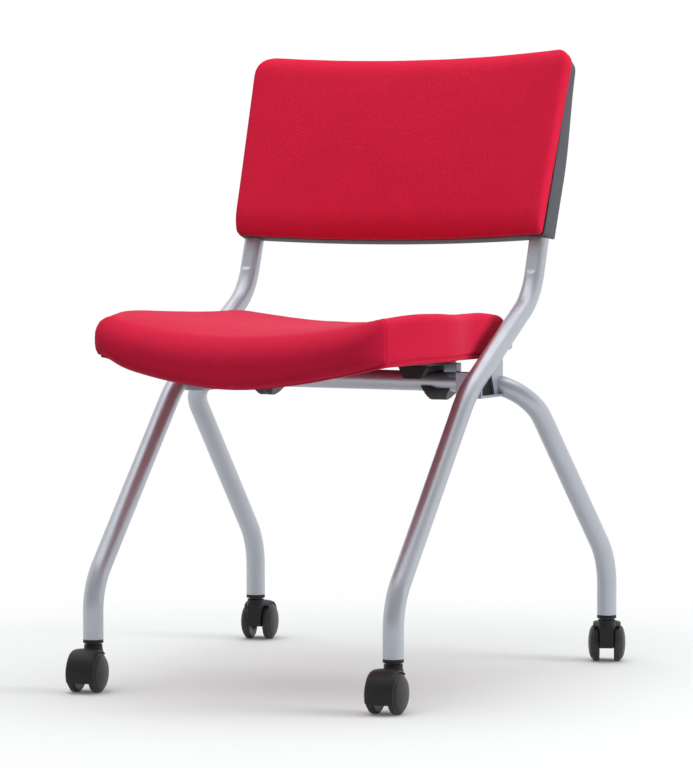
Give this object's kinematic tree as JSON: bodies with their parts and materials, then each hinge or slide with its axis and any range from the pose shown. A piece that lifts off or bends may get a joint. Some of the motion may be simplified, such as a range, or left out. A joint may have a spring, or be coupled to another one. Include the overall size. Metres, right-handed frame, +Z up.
{
  "type": "nesting chair",
  "caption": "Armless nesting chair: bent silver tube frame on twin-wheel casters, flip-up upholstered seat and padded back in a plastic shell.",
  "frame": {"origin": "on the floor, below the middle of the wheelbase", "axes": "+Z up; the sitter faces -Y; +X is the sitter's left"},
  "size_m": [0.572, 0.6268, 0.7967],
  "materials": {
    "silver_tube": "satin silver powder coat",
    "silver_sheet": "satin silver powder coat",
    "dark_steel": "dark grey zinc",
    "black_plastic": "fine moulded texture",
    "black_wheel": "smooth moulded nylon",
    "grey_plastic": "fine moulded texture",
    "red_fabric": "fine twill weave",
    "plywood": "unfinished",
    "pale_rubber": "matte"
  },
  "bodies": {
    "frame": {"rear_frame": "silver_tube", "left_side_tube": "silver_tube", "left_bracket": "silver_sheet", "left_bracket_insert": "black_plastic", "left_nesting_bumper": "pale_rubber", "left_seat_stop": "dark_steel", "left_back_screw_lower": "dark_steel", "left_back_screw_upper": "dark_steel", "right_side_tube": "silver_tube", "right_bracket": "silver_sheet", "right_bracket_insert": "black_plastic", "right_nesting_bumper": "pale_rubber", "right_seat_stop": "dark_steel", "right_back_screw_lower": "dark_steel", "right_back_screw_upper": "dark_steel", "back_shell": "grey_plastic", "back_board": "plywood", "back_pad": "red_fabric", "front_left_socket": "black_plastic", "front_right_socket": "black_plastic", "rear_left_socket": "black_plastic", "rear_right_socket": "black_plastic"},
    "seat": {"seat_pan": "black_plastic", "seat_cushion": "red_fabric", "left_hinge_saddle": "black_plastic", "left_hinge_clip": "black_plastic", "left_hinge_plate": "dark_steel", "left_hinge_screw_front": "dark_steel", "left_hinge_screw_rear": "dark_steel", "right_hinge_saddle": "black_plastic", "right_hinge_clip": "black_plastic", "right_hinge_plate": "dark_steel", "right_hinge_screw_front": "dark_steel", "right_hinge_screw_rear": "dark_steel"},
    "front_left_caster": {"front_left_stem": "dark_steel", "front_left_caster_body": "black_plastic", "front_left_axle": "dark_steel"},
    "front_left_outer_wheel": {"front_left_outer_wheel": "black_wheel"},
    "front_left_inner_wheel": {"front_left_inner_wheel": "black_wheel"},
    "front_right_caster": {"front_right_stem": "dark_steel", "front_right_caster_body": "black_plastic", "front_right_axle": "dark_steel"},
    "front_right_outer_wheel": {"front_right_outer_wheel": "black_wheel"},
    "front_right_inner_wheel": {"front_right_inner_wheel": "black_wheel"},
    "rear_left_caster": {"rear_left_stem": "dark_steel", "rear_left_caster_body": "black_plastic", "rear_left_axle": "dark_steel"},
    "rear_left_outer_wheel": {"rear_left_outer_wheel": "black_wheel"},
    "rear_left_inner_wheel": {"rear_left_inner_wheel": "black_wheel"},
    "rear_right_caster": {"rear_right_stem": "dark_steel", "rear_right_caster_body": "black_plastic", "rear_right_axle": "dark_steel"},
    "rear_right_outer_wheel": {"rear_right_outer_wheel": "black_wheel"},
    "rear_right_inner_wheel": {"rear_right_inner_wheel": "black_wheel"}
  },
  "joints": [
    {"name": "seat_flip", "type": "hinge", "parent": "frame", "child": "seat", "pos_m": [0, 0.0397, 0.3772], "axis": [-1, 0, 0], "range_deg": [0, 75]},
    {"name": "front_left_swivel", "type": "hinge", "parent": "frame", "child": "front_left_caster", "pos_m": [0.2072, -0.26235, 0.06], "axis": [0, 0, 1], "continuous": true},
    {"name": "front_left_outer_wheel_roll", "type": "hinge", "parent": "front_left_caster", "child": "front_left_outer_wheel", "pos_m": [0.20863, -0.2828, 0.02469], "axis": [0.9976, 0.0698, 0], "continuous": true},
    {"name": "front_left_inner_wheel_roll", "type": "hinge", "parent": "front_left_caster", "child": "front_left_inner_wheel", "pos_m": [0.20863, -0.2828, 0.02469], "axis": [0.9976, 0.0698, 0], "continuous": true},
    {"name": "front_right_swivel", "type": "hinge", "parent": "frame", "child": "front_right_caster", "pos_m": [-0.2072, -0.26235, 0.06], "axis": [0, 0, 1], "continuous": true},
    {"name": "front_right_outer_wheel_roll", "type": "hinge", "parent": "front_right_caster", "child": "front_right_outer_wheel", "pos_m": [-0.20399, -0.2826, 0.02469], "axis": [0.9877, 0.1564, 0], "continuous": true},
    {"name": "front_right_inner_wheel_roll", "type": "hinge", "parent": "front_right_caster", "child": "front_right_inner_wheel", "pos_m": [-0.20399, -0.2826, 0.02469], "axis": [0.9877, 0.1564, 0], "continuous": true},
    {"name": "rear_left_swivel", "type": "hinge", "parent": "frame", "child": "rear_left_caster", "pos_m": [0.2609, 0.26235, 0.06], "axis": [0, 0, 1], "continuous": true},
    {"name": "rear_left_outer_wheel_roll", "type": "hinge", "parent": "rear_left_caster", "child": "rear_left_outer_wheel", "pos_m": [0.25322, 0.28136, 0.02469], "axis": [-0.9272, -0.3746, 0], "continuous": true},
    {"name": "rear_left_inner_wheel_roll", "type": "hinge", "parent": "rear_left_caster", "child": "rear_left_inner_wheel", "pos_m": [0.25322, 0.28136, 0.02469], "axis": [-0.9272, -0.3746, 0], "continuous": true},
    {"name": "rear_right_swivel", "type": "hinge", "parent": "frame", "child": "rear_right_caster", "pos_m": [-0.2609, 0.26235, 0.06], "axis": [0, 0, 1], "continuous": true},
    {"name": "rear_right_outer_wheel_roll", "type": "hinge", "parent": "rear_right_caster", "child": "rear_right_outer_wheel", "pos_m": [-0.26516, 0.2824, 0.02469], "axis": [-0.9781, -0.2079, 0], "continuous": true},
    {"name": "rear_right_inner_wheel_roll", "type": "hinge", "parent": "rear_right_caster", "child": "rear_right_inner_wheel", "pos_m": [-0.26516, 0.2824, 0.02469], "axis": [-0.9781, -0.2079, 0], "continuous": true}
  ]
}
